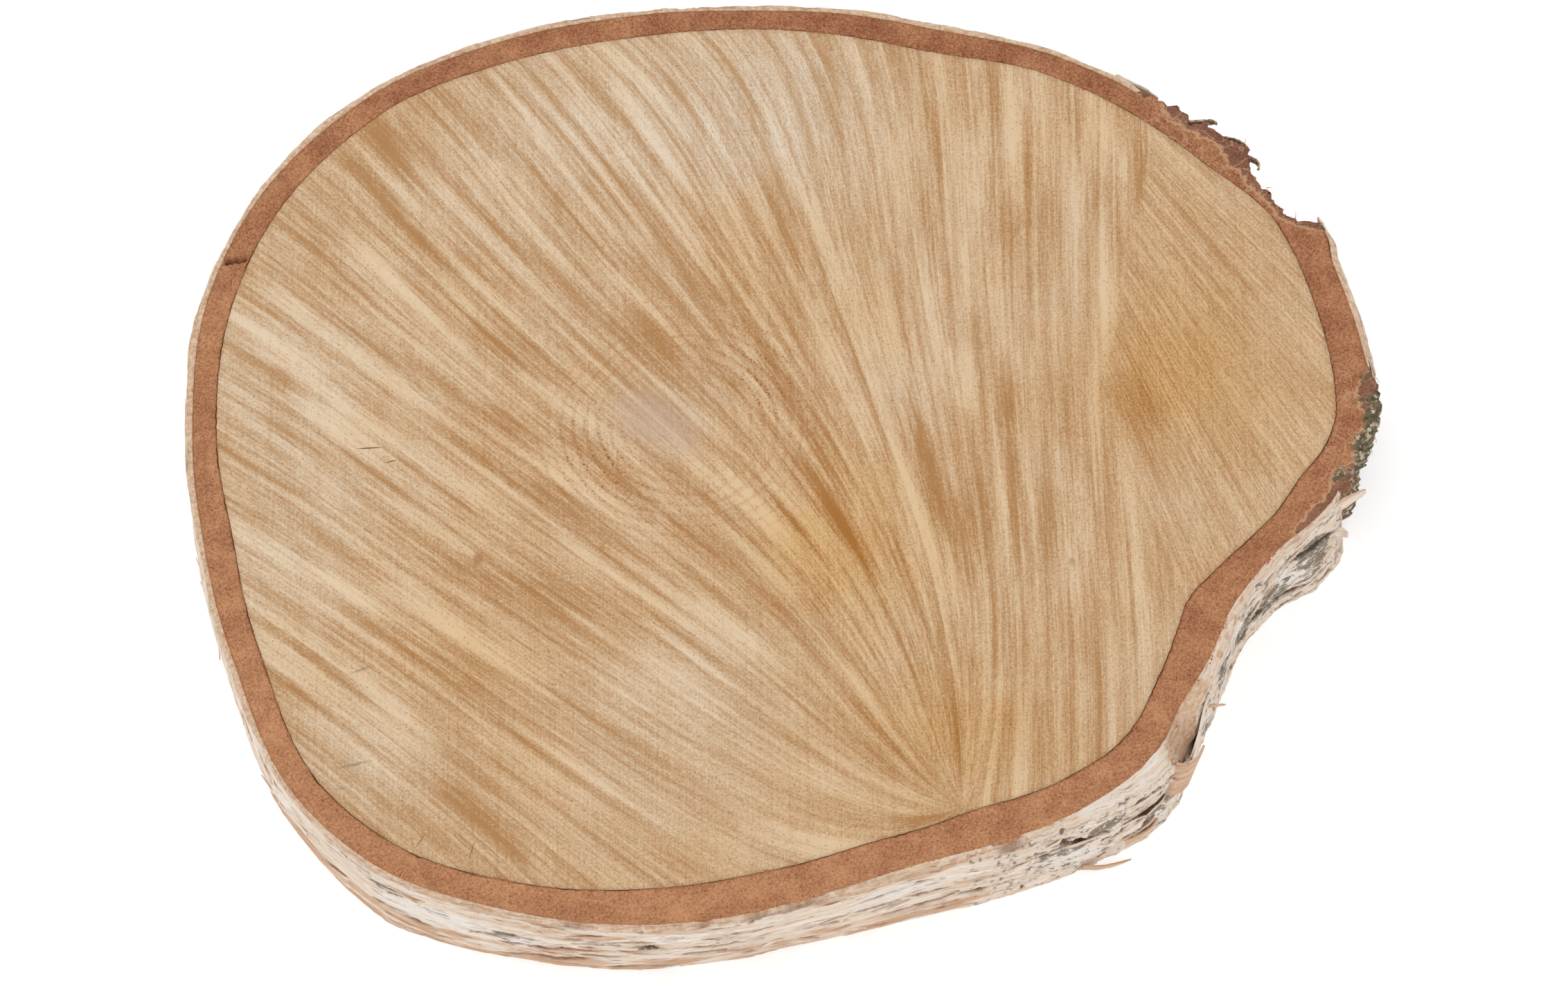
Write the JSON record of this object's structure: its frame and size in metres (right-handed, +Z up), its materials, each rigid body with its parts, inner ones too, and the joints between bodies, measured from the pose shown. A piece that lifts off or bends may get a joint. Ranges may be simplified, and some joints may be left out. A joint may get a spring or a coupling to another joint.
{
  "type": "birch wood slice",
  "caption": "Flat slice sawn across a birch trunk, a broad oval with one hollow side, with brown inner bark and papery outer bark all round its edge",
  "frame": {"origin": "under the middle of the bounding box, on the surface that the slice lies on", "axes": "+X along the slice's longest width, +Y away from the viewer of the picture, +Z up through the thickness"},
  "size_m": [0.251, 0.2168, 0.02],
  "materials": {
    "sawn_wood": "rough sawn end grain, dry",
    "inner_bark": "granular, dry",
    "papery_bark": "papery, matt"
  },
  "bodies": {
    "root": {"wood": "sawn_wood", "inner_bark": "inner_bark", "paper_bark": "papery_bark", "paper_bark_strip": "papery_bark"}
  },
  "joints": []
}
